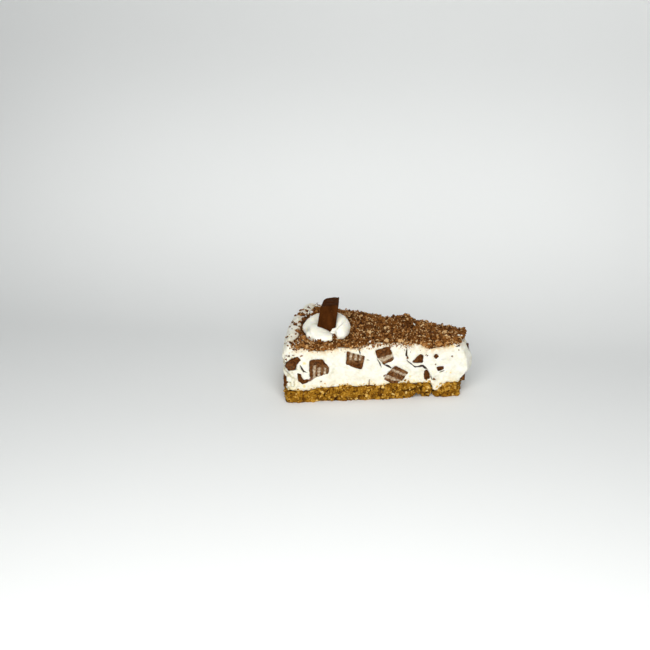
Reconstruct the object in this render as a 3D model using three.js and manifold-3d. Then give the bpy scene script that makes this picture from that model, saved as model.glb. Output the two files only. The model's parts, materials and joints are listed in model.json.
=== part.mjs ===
// A slice of unbaked cheesecake, in millimetres: a biscuit crumb base, a pale cream filling with pieces of
// chocolate wafer bar set in it, grated chocolate on top, and a piped cream rosette that holds a bar finger.
// +X runs from the rim to the tip, the photographed cut faces -Y, +Z is up, and the slice stands on z = 0.
import * as THREE from 'three';
import { mergeVertices } from 'three/addons/utils/BufferGeometryUtils.js';
import Module from 'manifold-3d';

const wasm = await Module();
wasm.setup();

// The cake and its slice
const CAKE_RADIUS = 135;
const HALF_ANGLE = THREE.MathUtils.degToRad(15);
const APEX_X = 81.48;
const APEX_Y = 0.09;
const TIP_RADIUS = 33.6;
const TIP_BULGE = 6.2;
const GAP = 0.3;
const TOPPING_GAP = 0.6;

// Heights of the layers
const CREAM_BOTTOM = 4.3;
const FLOOR_HEIGHT = 32.6;
const LIP_HEIGHT = 35.9;
const LIP_STEPS = [0, 1, 2.6, 4.8, 7.8];
const TOPPING_START = 8.8;
const TOPPING_HEIGHT = 36.4;

// Grid cells of the topping and the cream: along the slice, and from cut to cut
const TOPPING_CELLS = 32;
const ACROSS_CELLS = 10;

// The rosette and the finger of wafer bar in it
const ROSETTE = { u: 22.9, angle: -0.1161, radius: 14, height: 10.4, bottom: 35.6 };
const FINGER = { thick: 10, wide: 15, bottom: 37, top: 54.2, lean: 0.15, turn: 0.08 };

// Heights along the near cut, as distance from the rim and height
const NEAR_CREAM_TOP = [[9, 33.4], [18, 30.9], [30, 32.2], [39, 31.9], [52, 35], [66, 34.4], [76, 33.2],
  [83, 29.6], [91, 30.8], [101, 33.6]];
const BASE_TOP = [[0, 7.3], [11, 6.6], [20, 8.2], [35, 9.2], [41, 8], [47, 8.6], [53, 7.8], [61, 9.4],
  [76, 9.1], [84, 9.2], [92, 8.6], [101, 7.9]];

// A chocolate-brown, wafer-pale, cream or crumb material
const paint = (color, roughness) => () => new THREE.MeshStandardMaterial({ color, roughness, metalness: 0 });
const chocolate = paint(0x5c3416, 0.5);
const brokenChocolate = paint(0x6c4221, 0.6);
const wafer = paint(0xbfae92, 0.85);
const cream = paint(0xfaf8e8, 0.6);
const whippedCream = paint(0xfaf9eb, 0.5);
const biscuit = paint(0x94692b, 0.9);
const gratedChocolate = paint(0x724d2e, 0.75);

const lerp = THREE.MathUtils.lerp;
const smoothstep = THREE.MathUtils.smoothstep;

// Repeatable random numbers from 0 to 1
function seeded(seed) {
  let state = seed;
  return () => {
    state = (state + 0x6d2b79f5) | 0;
    let t = Math.imul(state ^ (state >>> 15), 1 | state);
    t = (t + Math.imul(t ^ (t >>> 7), 61 | t)) ^ t;
    return ((t ^ (t >>> 14)) >>> 0) / 4294967296;
  };
}

function latticeValue(x, y, z) {
  const h = Math.sin(x * 127.1 + y * 311.7 + z * 74.7) * 43758.5453;
  return 2 * (h - Math.floor(h)) - 1;
}

// Smooth noise from -1 to 1 with bumps of the given size
function noise(point, size, shift = 0) {
  const q = [point.x, point.y, point.z].map((v) => v / size + shift);
  const cell = q.map(Math.floor);
  const f = q.map((v, i) => smoothstep(v - cell[i], 0, 1));
  let sum = 0;
  for (let corner = 0; corner < 8; corner++) {
    const step = [corner & 1, (corner >> 1) & 1, corner >> 2];
    const weight = step.reduce((w, s, i) => w * (s ? f[i] : 1 - f[i]), 1);
    sum += weight * latticeValue(...cell.map((v, i) => v + step[i]));
  }
  return sum;
}

// Height of a line of [distance, height] points, rounded between them
function heightOn(line, u) {
  const last = line.length - 1;
  if (u <= line[0][0]) return line[0][1];
  if (u >= line[last][0]) return line[last][1];
  const i = line.findIndex((p) => p[0] > u) - 1;
  return lerp(line[i][1], line[i + 1][1], smoothstep(u, line[i][0], line[i + 1][0]));
}

function toSolid(geometry) {
  const plain = geometry.clone();
  plain.deleteAttribute('normal');
  plain.deleteAttribute('uv');
  const merged = mergeVertices(plain, 1e-4);
  return new wasm.Manifold(new wasm.Mesh({
    numProp: 3,
    vertProperties: new Float32Array(merged.attributes.position.array),
    triVerts: new Uint32Array(merged.index.array),
  }));
}

function toGeometry(solid) {
  const mesh = solid.getMesh();
  const geometry = new THREE.BufferGeometry();
  geometry.setAttribute('position', new THREE.BufferAttribute(mesh.vertProperties, 3));
  geometry.setIndex(new THREE.BufferAttribute(mesh.triVerts, 1));
  geometry.computeVertexNormals();
  return geometry;
}

const slice = new THREE.Group();

function addNode(name, solid, material) {
  const mesh = new THREE.Mesh(toGeometry(solid), material());
  mesh.name = name;
  slice.add(mesh);
}

// A point at distance u in from the rim, along the ray at that angle from the middle of the slice
function slicePoint(u, angle, z) {
  const r = CAKE_RADIUS - u;
  return new THREE.Vector3(APEX_X - r * Math.cos(angle), APEX_Y + r * Math.sin(angle), z);
}

const NEAR_OUT = new THREE.Vector3(Math.sin(HALF_ANGLE), -Math.cos(HALF_ANGLE), 0);
const FAR_OUT = new THREE.Vector3(Math.sin(HALF_ANGLE), Math.cos(HALF_ANGLE), 0);
const TIP_OUT = new THREE.Vector3(1, 0, 0);

// Distance from the rim to a flat end of the slice at this angle, with some bulge
function tipDistance(angle, bulge = 0) {
  return CAKE_RADIUS - (TIP_RADIUS - bulge) / Math.cos(angle);
}

// How far the cream swells out of the tip: most at half height, ending sharply over the base
function creamBulge(z) {
  const from = z < 18.5 ? (z - 18.5) / 9 : (z - 18.5) / 14;
  return Math.abs(from) < 1 ? TIP_BULGE * (1 - from * from) ** (z < 18.5 ? 0.6 : 0.9) : 0;
}

// Moves a point at distances p and q inside two faces onto a round edge between them
function roundEdge(p, q, radius) {
  if (p >= radius || q >= radius) return [p, q];
  const a = 1 - p / radius;
  const b = 1 - q / radius;
  const scale = Math.max(a, b) / Math.hypot(a, b);
  return [radius * (1 - a * scale), radius * (1 - b * scale)];
}

// Grid lines across the slice, closer together near the two cuts
function acrossLine(part) {
  return part - 0.6 * Math.sin(2 * Math.PI * part) / (2 * Math.PI);
}

// Grid lines along the slice, closer together near the tip
function alongLine(part) {
  return 1 - (1 - part) ** 1.22;
}

// A closed block of grid cells with each grid point put in its place
function gridBlock(along, across, high, place) {
  const geometry = new THREE.BoxGeometry(1, 1, 1, along, across, high);
  const at = geometry.attributes.position;
  for (let n = 0; n < at.count; n++) {
    const i = Math.round((at.getX(n) + 0.5) * along);
    const j = Math.round((at.getY(n) + 0.5) * across);
    const k = Math.round((at.getZ(n) + 0.5) * high);
    const p = place(i, j, k);
    at.setXYZ(n, p.x, p.y, p.z);
  }
  return toSolid(geometry);
}

// One layer of the slice. start and end are distances from the rim at an angle and height, line gives the
// distance of grid line i, bottom and top are heights at a distance and a share across, levels are shares of
// the height, corners are radii at rim and tip, lip is the radius of the rim's top edge, and relief is an
// outward shift of the four sides.
function wedgeLayer(layer) {
  const high = layer.levels.length - 1;
  return gridBlock(layer.along, layer.across, high, (i, j, k) => {
    const share = acrossLine(j / layer.across);
    let angle = lerp(-HALF_ANGLE, HALF_ANGLE, share);
    let z = layer.levels[k] * 9;
    let u = 0;
    let up = 0;
    for (let round = 0; round < 3; round++) {
      u = layer.line(i, layer.start(angle, z), layer.end(angle, z), share);
      up = layer.top(u, share);
      z = lerp(layer.bottom(u, share), up, layer.levels[k]);
    }
    const start = layer.start(angle, z);
    const end = layer.end(angle, z);
    const r = CAKE_RADIUS - u;
    const side = Math.min(angle + HALF_ANGLE, HALF_ANGLE - angle) * r;
    const nearer = angle < 0 ? 1 : -1;
    const [atRim, besideRim] = roundEdge(u - start, side, layer.corners[0]);
    const [atTip, besideTip] = roundEdge(end - u, side, layer.corners[1]);
    u = u - start < layer.corners[0] ? start + atRim : end - atTip;
    angle += nearer * (Math.min(besideRim, besideTip) - side) / r;
    if (u - start < layer.corners[0]) angle += nearer * (besideRim - Math.min(besideRim, besideTip)) / r;
    if (layer.lip) {
      const [inward, down] = roundEdge(u - start, up - z, layer.lip);
      u = start + inward;
      z = up - down;
    }
    const point = slicePoint(u, angle, z);
    const shift = new THREE.Vector3();
    if (j === 0) shift.addScaledVector(NEAR_OUT, layer.relief(point, u, 'near'));
    if (j === layer.across) shift.addScaledVector(FAR_OUT, layer.relief(point, u, 'far'));
    if (i === 0) shift.add(slicePoint(-layer.relief(point, u, 'rim'), angle, 0)).sub(slicePoint(0, angle, 0));
    if (i === layer.along) shift.addScaledVector(TIP_OUT, layer.relief(point, u, 'tip'));
    return point.add(shift);
  });
}

// Height of the crumb base at a distance from the rim and a share across
function baseTop(u, share) {
  const nearLine = heightOn(BASE_TOP, u);
  const inside = smoothstep(share, 0, 0.25);
  const rough = 0.8 * noise(slicePoint(u, (share - 0.5) * 2 * HALF_ANGLE, 0), 5, 3.3);
  return lerp(nearLine, 8.3, inside) + rough * (0.4 + 0.6 * inside);
}

// A piece of the base between two break faces. A grown copy of it, cut out of the cream, leaves the gap.
function basePiece({ from, to, underside, along, broken, grow }) {
  return wedgeLayer({
    along,
    across: 8,
    levels: [0, 0.33, 0.72, 1],
    start: from,
    end: to,
    line: (i, start, end) => lerp(start, end, i / along),
    bottom: (u, share) => (grow ? -1 : underside(u, share)),
    top: (u, share) => baseTop(u, share) + grow,
    corners: grow ? [0, 0] : [broken.includes('rim') ? 1 : 4, 1.5],
    relief: (point, u, side) => {
      if (broken.includes(side)) return 0;
      return grow ? 3 : 0.15 + 0.75 * noise(point, 2.6, side === 'far' ? 8 : 1);
    },
  });
}

// Where the base is broken near the tip: the main part, a loose lump and the tip part
function breakAt(angle, z) {
  return 77 + 0.25 * Math.abs(z - 6) + 1.2 * noise({ x: angle * 40, y: z, z: 0 }, 5);
}

function baseMain(grow) {
  return basePiece({
    from: () => 0,
    to: (angle, z) => breakAt(angle, z) - 1.4 * GAP + (grow ? 1.4 : 0),
    underside: (u, share) => 3.3 * smoothstep(u, 72.5, 74.5) * (1 - smoothstep(share, 0.5, 0.9)),
    along: 30,
    broken: ['tip'],
    grow,
  });
}

function baseLump(grow) {
  return basePiece({
    from: (angle, z) => breakAt(angle, z) + GAP - grow,
    to: (angle, z) => 85 - 0.32 * Math.abs(z - 4.5) + 0.4 * noise({ x: angle * 30, y: z, z: 5 }, 4) + grow,
    underside: () => 0,
    along: 3,
    broken: ['rim', 'tip'],
    grow,
  });
}

function baseTip(grow) {
  return basePiece({
    from: (angle, z) => {
      const slant = 1.05 * Math.max(0, z - 2.5);
      return 85.9 + slant + 0.4 * noise({ x: angle * 30, y: z, z: 5 }, 4) - grow;
    },
    to: (angle) => tipDistance(angle),
    underside: () => 0,
    along: 6,
    broken: ['rim'],
    grow,
  });
}

// Height of the cream's top: a lip along the rim, then the floor that the grated chocolate covers
function creamTop(u, share) {
  const nearLine = heightOn(NEAR_CREAM_TOP, u);
  const inside = smoothstep(share, 0, 0.22);
  const floor = lerp(nearLine, FLOOR_HEIGHT - 0.8 * smoothstep(share, 0.7, 1), inside);
  const lip = lipShare(share);
  return lerp(LIP_HEIGHT, floor, smoothstep(u, LIP_STEPS[4] * lip, TOPPING_START * lip));
}

// The lip is narrower toward the two cuts, most at the near one
function lipShare(share) {
  return lerp(0.5, 1, smoothstep(share, 0, 0.2)) - 0.2 * smoothstep(share, 0.85, 1);
}

// Grid lines that the cream's top and the topping share
function sharedLine(i, end, share) {
  if (i < LIP_STEPS.length) return LIP_STEPS[i] * lipShare(share);
  return lerp(TOPPING_START * lipShare(share), end, alongLine((i - LIP_STEPS.length) / TOPPING_CELLS));
}

// The cream is lumpy at the near corner of the rim, and swells there above the middle
function creamRelief(point, u, side) {
  const corner = Math.exp(-((u / 9) ** 2));
  if (side === 'near') return 0.25 * noise(point, 6) + corner * (0.3 + 1.1 * noise(point, 4.5, 2));
  if (side !== 'rim') return 0.25 * noise(point, 6, 7);
  const swell = 2 * Math.exp(-(((point.z - 26) / 4) ** 2)) + 0.6 * noise(point, 5, 2);
  return 0.3 * noise(point, 9, 5) + (point.y < -24 ? swell : 0);
}

function creamBlock() {
  return wedgeLayer({
    along: LIP_STEPS.length + TOPPING_CELLS,
    across: ACROSS_CELLS,
    levels: [0, 0.2, 0.4, 0.62, 0.84, 1],
    start: () => 0,
    end: (angle, z) => tipDistance(angle, creamBulge(z)),
    line: (i, start, end, share) => sharedLine(i, end, share),
    bottom: () => CREAM_BOTTOM,
    top: creamTop,
    corners: [5, 7],
    lip: 3.8,
    relief: creamRelief,
  });
}

// An outline moved outward by a distance
function growOutline(outline, grow) {
  const count = outline.length;
  const direction = Math.sign(THREE.ShapeUtils.area(outline));
  return outline.map((p, i) => {
    const before = p.clone().sub(outline[(i + count - 1) % count]).normalize();
    const after = outline[(i + 1) % count].clone().sub(p).normalize();
    const out = new THREE.Vector2(before.y + after.y, -before.x - after.x);
    const length = Math.max(0.5, 1 + before.dot(after));
    return p.clone().addScaledVector(out, direction * grow / length);
  });
}

// A prism on a cut face: its outline is in distance along the cut and height, and it goes into the slice from
// a little in front of the face. Its hidden end is narrower by the taper.
function facePrism(face, outline, { front, depth, grow = 0, taper = 0 }) {
  const points = growOutline(outline.map(([u, z]) => new THREE.Vector2(u, z)), grow);
  const middle = points.reduce((sum, p) => sum.add(p), new THREE.Vector2()).divideScalar(points.length);
  const geometry = new THREE.ExtrudeGeometry(new THREE.Shape(points), {
    depth: front + depth + grow,
    bevelEnabled: false,
  });
  const at = geometry.attributes.position;
  for (let n = 0; n < at.count; n++) {
    const hidden = at.getZ(n) < 0.01;
    const keep = hidden ? 1 - taper : 1;
    const u = lerp(middle.x, at.getX(n), keep);
    const z = lerp(middle.y, at.getY(n), keep);
    const out = at.getZ(n) - depth - grow;
    const p = face.origin.clone().addScaledVector(face.along, u).addScaledVector(face.out, out);
    at.setXYZ(n, p.x, p.y, z);
  }
  return toSolid(geometry);
}

// The two cuts: distances run from the rim on the near one and from the tip's point on the far one
const NEAR_FACE = {
  origin: slicePoint(0, -HALF_ANGLE, 0),
  along: new THREE.Vector3(Math.cos(HALF_ANGLE), Math.sin(HALF_ANGLE), 0),
  out: NEAR_OUT,
};
const FAR_FACE = {
  origin: slicePoint(CAKE_RADIUS, HALF_ANGLE, 0),
  along: new THREE.Vector3(-Math.cos(HALF_ANGLE), Math.sin(HALF_ANGLE), 0),
  out: FAR_OUT,
};

const TIP_FACE = {
  origin: new THREE.Vector3(APEX_X - TIP_RADIUS, APEX_Y, 0),
  along: new THREE.Vector3(0, 1, 0),
  out: TIP_OUT,
};

function rimFace(angle) {
  return {
    origin: slicePoint(0, angle, 0),
    along: new THREE.Vector3(-Math.sin(angle), -Math.cos(angle), 0),
    out: new THREE.Vector3(-Math.cos(angle), Math.sin(angle), 0),
  };
}

// Pieces of wafer bar that the near cut goes through, with the pale wafer bands that show in some
const NEAR_PIECES = [
  {
    name: 'bar_piece_1',
    outline: [[0.4, 22.6], [2.6, 19.5], [5.8, 20.7], [6.9, 24], [9, 26.2], [7.2, 28.2], [4.4, 26.4],
      [2.4, 25.6]],
    depth: 7,
  },
  {
    name: 'bar_piece_2',
    outline: [[7.4, 17.9], [7.8, 13.4], [9.8, 11.5], [13.2, 12.6], [13.1, 14.1], [11.3, 13.3], [9.8, 14.7],
      [8.6, 17.6]],
    depth: 5,
  },
  {
    name: 'bar_piece_3',
    outline: [[14.2, 25.4], [14.1, 18.7], [14.2, 15.6], [16.5, 14.8], [20.8, 16.3], [24.5, 17.4],
      [24.9, 20.8], [23.6, 23.2], [21.2, 25.8], [16.6, 26]],
    wafers: [
      [[15.8, 22.6], [16, 13.5], [17.5, 13.5], [17.5, 22.6]],
      [[18.5, 21], [18.5, 14], [20.2, 14], [20.3, 21]],
      [[22, 20.8], [22, 15], [23.3, 15], [23.3, 20.8]],
    ],
    depth: 8,
  },
  {
    name: 'bar_piece_4',
    outline: [[35.2, 30.2], [34.7, 22.6], [40.9, 19.8], [43.7, 19.1], [45.1, 26.9]],
    wafers: [
      [[36.9, 31], [36.6, 25.2], [38, 24.9], [38.5, 31]],
      [[39.8, 30], [39.4, 24.8], [40.7, 24.6], [41.3, 30]],
      [[42.5, 29], [42.1, 24.6], [43.3, 24.4], [43.9, 29]],
    ],
    depth: 9,
  },
  {
    name: 'bar_piece_5',
    outline: [[51.3, 30.1], [52.5, 25.7], [56.3, 21.5], [62, 24.3], [60.7, 28.3], [59.1, 32]],
    wafers: [[[53, 25.4], [55.4, 22.9], [61.5, 25.8], [60.8, 27.7]]],
    depth: 9,
  },
  {
    name: 'bar_piece_6',
    outline: [[63.1, 20.3], [60, 17.2], [58.3, 15.3], [56.8, 12.4], [61, 9.7], [64.6, 9.9], [67.1, 11.2],
      [70.3, 15.7]],
    wafers: [
      [[61.9, 18.6], [60.6, 17.3], [68.5, 13.6], [69.2, 14.9]],
      [[58.3, 14.9], [57.3, 12.9], [64.9, 10.4], [66.4, 11.3]],
    ],
    depth: 9,
  },
  { name: 'bar_piece_7', outline: [[72.4, 22.3], [78.4, 21.4], [78.6, 25.8], [77, 26.7]], depth: 5 },
  { name: 'bar_piece_8', outline: [[84.6, 25.4], [86.2, 23.8], [87.5, 25.1], [86.4, 26.8]], depth: 3 },
  { name: 'bar_piece_9', outline: [[86.6, 18.6], [87.6, 16.2], [91, 17.1], [90.9, 18.8]], depth: 4 },
  { name: 'bar_piece_10', outline: [[80, 16.8], [79.6, 11.7], [83.1, 11.6], [81.6, 16.6]], depth: 4 },
];

// Pieces on the far cut, laid out like the near one
const FAR_PIECES = [
  {
    name: 'far_bar_piece_1',
    outline: [[117, 27], [108, 28], [106.5, 21], [110, 19], [117.5, 20.5]],
    wafers: [[[118.2, 24.6], [106.6, 25.2], [106.2, 23], [118.2, 22.6]]],
    depth: 9,
  },
  {
    name: 'far_bar_piece_2',
    outline: [[98, 20], [89.5, 17.5], [91, 12], [95, 11.8], [99.5, 14.5]],
    depth: 8,
  },
  {
    name: 'far_bar_piece_3',
    outline: [[83, 29.5], [75, 28], [75.5, 21], [82.5, 20.5]],
    wafers: [
      [[80.9, 28.6], [79.4, 28.4], [79.6, 23.5], [81, 23.4]],
      [[77.9, 28.1], [76.4, 27.8], [76.7, 23.7], [78.1, 23.6]],
    ],
    depth: 9,
  },
  { name: 'far_bar_piece_4', outline: [[66, 17.5], [60.5, 16], [61.5, 12.4], [66.5, 13]], depth: 6 },
  { name: 'far_bar_piece_5', outline: [[52, 26], [47.5, 24.5], [50.5, 21.5]], depth: 4 },
];

// Pieces that show at the rim and under the swollen tip: distance from the face's middle line, and height
const RIM_PIECES = [
  {
    name: 'rim_bar_piece_1',
    angle: -0.225,
    outline: [[2.6, 9.4], [3.2, 15.6], [-1.2, 16.4], [-3.4, 12.2]],
    depth: 4,
  },
  {
    name: 'rim_bar_piece_2',
    angle: -0.02,
    outline: [[3, 17.5], [4.2, 22.5], [-3.4, 24.4], [-4.6, 18.4]],
    depth: 6,
  },
  {
    name: 'rim_bar_piece_3',
    angle: 0.16,
    outline: [[3.6, 12.4], [1, 16.8], [-3, 14.6], [-1.6, 11.2]],
    depth: 5,
  },
];
const TIP_PIECES = [
  {
    name: 'tip_bar_piece_1',
    outline: [[-7.4, 9.4], [-2.8, 9.6], [-3.4, 12.4], [-6.6, 12.6]],
    front: 2.6,
    depth: 2,
  },
  {
    name: 'tip_bar_piece_2',
    outline: [[-1.6, 25.4], [3, 24.8], [2.6, 28.2], [-1, 28.8]],
    front: 3.6,
    depth: 2,
  },
];

// Cracks in the cream on the near cut
const CRACKS = [
  { path: [[8.7, 22.9], [10.7, 19.2], [12.7, 18.4]], wide: 0.7 },
  { path: [[41.8, 31], [42.5, 29.6], [42.7, 27.9]], wide: 0.7 },
  { path: [[52.3, 25.6], [53.9, 22.4], [55, 19.6]], wide: 0.8 },
  { path: [[56.4, 21.4], [58.6, 20.4], [61, 18.7]], wide: 0.8 },
  { path: [[69.3, 31.6], [69.1, 26.6], [70.4, 24.8]], wide: 0.8 },
  {
    path: [[69.4, 23.5], [72.4, 20.6], [74.4, 19.2], [78.8, 19.6], [80.9, 17.5], [82.7, 14.3], [84.3, 10.8]],
    wide: 0.9,
  },
  { path: [[88.2, 15.3], [89.6, 15.6], [91.2, 16.3]], wide: 0.5 },
];

// The outline of a crack: a path that is widest in the middle and closes at its ends
function crackOutline({ path, wide }) {
  const points = path.map(([u, z]) => new THREE.Vector2(u, z));
  const last = points.length - 1;
  const beside = (sign) => points.slice(1, last).map((p, i) => {
    const along = points[i + 2].clone().sub(points[i]).normalize();
    return [p.x - sign * along.y * wide / 2, p.y + sign * along.x * wide / 2];
  });
  return [path[0], ...beside(-1), path[last], ...beside(1).reverse()];
}

// Adds a piece's chocolate and wafer bands, and takes its pocket out of the cream
function setPiece(filling, face, piece) {
  const front = piece.front || 0.1;
  const body = facePrism(face, piece.outline, { front, depth: piece.depth, taper: 0.25 });
  let coating = body;
  (piece.wafers || []).forEach((band, i) => {
    const whole = facePrism(face, band, { front: 0, depth: piece.depth * 0.6 });
    coating = coating.subtract(facePrism(face, band, { front: 2, depth: piece.depth * 0.6, grow: GAP }));
    addNode(`${piece.name}_wafer_${i + 1}`, whole.intersect(body), wafer);
  });
  addNode(piece.name, coating, piece.wafers ? chocolate : brokenChocolate);
  const pocket = { front: front + 1.5, depth: piece.depth, grow: GAP, taper: 0.08 };
  return filling.subtract(facePrism(face, piece.outline, pocket));
}

// An angular crumb of chocolate with uneven corners, turned at random
function crumb(random, size, sides = 'many') {
  const geometry = sides === 'few' ? new THREE.OctahedronGeometry(1) : new THREE.IcosahedronGeometry(1);
  geometry.deleteAttribute('normal');
  geometry.deleteAttribute('uv');
  const merged = mergeVertices(geometry, 1e-4);
  const at = merged.attributes.position;
  const stretch = [1.25, 0.95, 0.65].map((s) => s * (0.8 + 0.4 * random()));
  const turn = new THREE.Euler(random() * 0.9, random() * 0.9, random() * 6.28);
  for (let n = 0; n < at.count; n++) {
    const grow = size * (0.8 + 0.4 * random());
    const p = new THREE.Vector3(at.getX(n) * stretch[0], at.getY(n) * stretch[1], at.getZ(n) * stretch[2]);
    p.multiplyScalar(grow).applyEuler(turn);
    at.setXYZ(n, p.x, p.y, p.z);
  }
  return merged;
}

function distanceToRosette(point) {
  const centre = slicePoint(ROSETTE.u, ROSETTE.angle, point.z);
  return centre.distanceTo(point);
}

// Flecks of chocolate that lie on the bare lip, joined to the cream
function addLipFlecks(filling) {
  const random = seeded(11);
  let result = filling;
  for (let n = 0; n < 26; n++) {
    const share = 0.03 + 0.94 * (n + 0.5) / 26;
    const u = (1.4 + 4.4 * Math.sqrt(random())) * lipShare(share);
    const angle = HALF_ANGLE * (2 * share - 1);
    const fleck = crumb(random, 0.8 + 0.8 * random(), 'few');
    const p = slicePoint(u, angle, LIP_HEIGHT - 0.05 - 0.45 * Math.max(0, 3 - u));
    fleck.translate(p.x, p.y, p.z);
    result = result.add(toSolid(fleck));
  }
  return result;
}

function addFilling() {
  let filling = creamBlock();
  for (const piece of [baseMain, baseLump, baseTip]) filling = filling.subtract(piece(GAP));
  for (const piece of NEAR_PIECES) filling = setPiece(filling, NEAR_FACE, piece);
  for (const piece of FAR_PIECES) filling = setPiece(filling, FAR_FACE, piece);
  for (const piece of RIM_PIECES) filling = setPiece(filling, rimFace(piece.angle), piece);
  for (const piece of TIP_PIECES) filling = setPiece(filling, TIP_FACE, piece);
  for (const crack of CRACKS) {
    filling = filling.subtract(facePrism(NEAR_FACE, crackOutline(crack), { front: 3, depth: 2.2, taper: 0 }));
  }
  addNode('cream_filling', addLipFlecks(filling), cream);
}

function addBase() {
  addNode('biscuit_base_main', baseMain(0), biscuit);
  addNode('biscuit_base_lump', baseLump(0), biscuit);
  addNode('biscuit_base_tip', baseTip(0), biscuit);
}

// Height of the grated chocolate, flat where the rosette stands on it
function toppingTop(u, share) {
  const point = slicePoint(u, (share - 0.5) * 2 * HALF_ANGLE, 0);
  const heap = 1.8 * Math.exp(-(((u - 66) / 7) ** 2)) * smoothstep(share, 0.5, 0.95);
  const edge = 1.3 * smoothstep(Math.abs(share - 0.5), 0.4, 0.5);
  const loose = TOPPING_HEIGHT - 0.6 * smoothstep(u, 75, 100) + heap - edge + 0.9 * noise(point, 5, 4);
  const flat = ROSETTE.bottom - GAP - 0.1;
  const start = TOPPING_START * lipShare(share);
  const bank = LIP_HEIGHT + 1.4 - 0.8 * smoothstep(share, 0.8, 1);
  const free = lerp(bank, Math.max(loose, creamTop(u, share) + 2), smoothstep(u, start, start + 4));
  return lerp(flat, free, smoothstep(distanceToRosette(point), 14.8, 18));
}

// The topping spills a little over the lip, the cuts and the tip
function toppingRelief(point, u, side) {
  if (side === 'rim') return point.z > LIP_HEIGHT + 1 ? 0.8 + 0.6 * noise(point, 4, 6) : 0;
  if (side === 'tip') return point.z > 34.5 ? 1.9 : 0.5;
  return 0.3 + 0.5 * noise(point, 3, 6);
}

function toppingBlock() {
  return wedgeLayer({
    along: TOPPING_CELLS,
    across: ACROSS_CELLS,
    levels: [0, 0.5, 1],
    start: () => 0,
    end: (angle, z) => tipDistance(angle, creamBulge(z - TOPPING_GAP)),
    line: (i, start, end, share) => sharedLine(i + LIP_STEPS.length, end, share),
    bottom: (u, share) => creamTop(u, share) + TOPPING_GAP,
    top: toppingTop,
    corners: [0, 7],
    relief: toppingRelief,
  });
}

// Crumbs and shavings of chocolate spread evenly over the topping, largest first
function addToppingCrumbs(block) {
  const random = seeded(5);
  const count = 96;
  let result = block;
  for (let n = 0; n < count; n++) {
    const share = ((n + 0.5) * 0.61803) % 1;
    const farthest = (CAKE_RADIUS - TOPPING_START - 1) ** 2;
    const nearest = (TIP_RADIUS + 2) ** 2;
    const u = CAKE_RADIUS - Math.sqrt(lerp(farthest, nearest, (n * 0.7548) % 1));
    const size = lerp(2.1, 1.1, n / count);
    const angle = (share - 0.5) * 2 * HALF_ANGLE * 0.97;
    const p = slicePoint(u, angle, toppingTop(u, share) - 0.1);
    if (distanceToRosette(new THREE.Vector3(p.x, p.y, p.z)) < 15.2 + size) continue;
    const piece = crumb(random, size);
    piece.translate(p.x, p.y, p.z);
    result = result.add(toSolid(piece));
  }
  return result;
}

function addTopping() {
  addNode('grated_chocolate_topping', addToppingCrumbs(toppingBlock()), gratedChocolate);
}

// The rosette's coil starts low at the front right and climbs once round to where it meets itself
const COIL_START = THREE.MathUtils.degToRad(-52);

function coilTurn(angle) {
  const turn = (COIL_START - angle) / (2 * Math.PI);
  return turn - Math.floor(turn);
}

function bump(angle, at, wide) {
  const gap = Math.atan2(Math.sin(angle - at), Math.cos(angle - at));
  return Math.exp(-((gap / wide) ** 2));
}

function rosetteBody() {
  const profile = [[0, 0], [0.8, 0], [0.93, 0.06], [1, 0.24], [1.01, 0.42], [0.95, 0.64], [0.83, 0.84],
    [0.66, 0.97], [0.5, 0.98], [0.38, 0.86], [0.2, 0.74], [0, 0.7]].map(([r, h]) => new THREE.Vector2(r, h));
  const geometry = new THREE.LatheGeometry(profile, 44);
  geometry.rotateX(Math.PI / 2);
  const at = geometry.attributes.position;
  const centre = slicePoint(ROSETTE.u, ROSETTE.angle, ROSETTE.bottom);
  for (let n = 0; n < at.count; n++) {
    const angle = Math.atan2(at.getY(n), at.getX(n));
    const reach = Math.hypot(at.getX(n), at.getY(n));
    const turn = coilTurn(angle);
    const rise = 0.3 * smoothstep(turn, 0, 0.3) + 0.26 * smoothstep(turn, 0.3, 0.75);
    const climb = 0.44 + rise - 0.1 * smoothstep(turn, 0.92, 1);
    const crease = 0.13 * bump(angle, COIL_START, 0.16) + 0.15 * bump(angle, 3.62, 0.38);
    const tips = -0.17 * bump(angle, 2.55, 0.65) + 0.05 * bump(angle, -0.1, 0.8);
    const width = ROSETTE.radius * reach * (1 + (tips + 0.06 * bump(angle, -1.7, 0.6) - crease) * reach);
    const height = ROSETTE.height * at.getZ(n) * lerp(0.8, climb, Math.min(1, reach * 2)) * (1 - crease);
    at.setXYZ(n, centre.x + width * Math.cos(angle), centre.y + width * Math.sin(angle), centre.z + height);
  }
  return toSolid(geometry);
}

// A finger cut from the bar, a little narrower toward its back, leaning to the tip
function fingerBody(grow) {
  const halfThick = FINGER.thick / 2 + grow;
  const halfWide = FINGER.wide / 2 + grow;
  const shape = new THREE.Shape();
  shape.moveTo(-halfThick, -halfWide);
  shape.lineTo(halfThick, -halfWide);
  shape.lineTo(halfThick - 0.5, halfWide);
  shape.lineTo(-halfThick + 4, halfWide);
  shape.quadraticCurveTo(-halfThick + 0.7, halfWide, -halfThick + 0.7, halfWide - 4);
  const length = FINGER.top - FINGER.bottom;
  const geometry = new THREE.ExtrudeGeometry(shape, {
    depth: length + (grow ? 10 : 0),
    bevelEnabled: false,
    curveSegments: 3,
  });
  const at = geometry.attributes.position;
  const foot = slicePoint(ROSETTE.u, ROSETTE.angle, FINGER.bottom - grow).add(new THREE.Vector3(0.7, 1.5, 0));
  const upright = new THREE.Vector3(0, 0, 1);
  for (let n = 0; n < at.count; n++) {
    const p = new THREE.Vector3(at.getX(n), at.getY(n), 0).applyAxisAngle(upright, FINGER.turn);
    const up = at.getZ(n);
    at.setXYZ(n, foot.x + p.x + FINGER.lean * up, foot.y + p.y, foot.z + up);
  }
  return toSolid(geometry);
}

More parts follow.
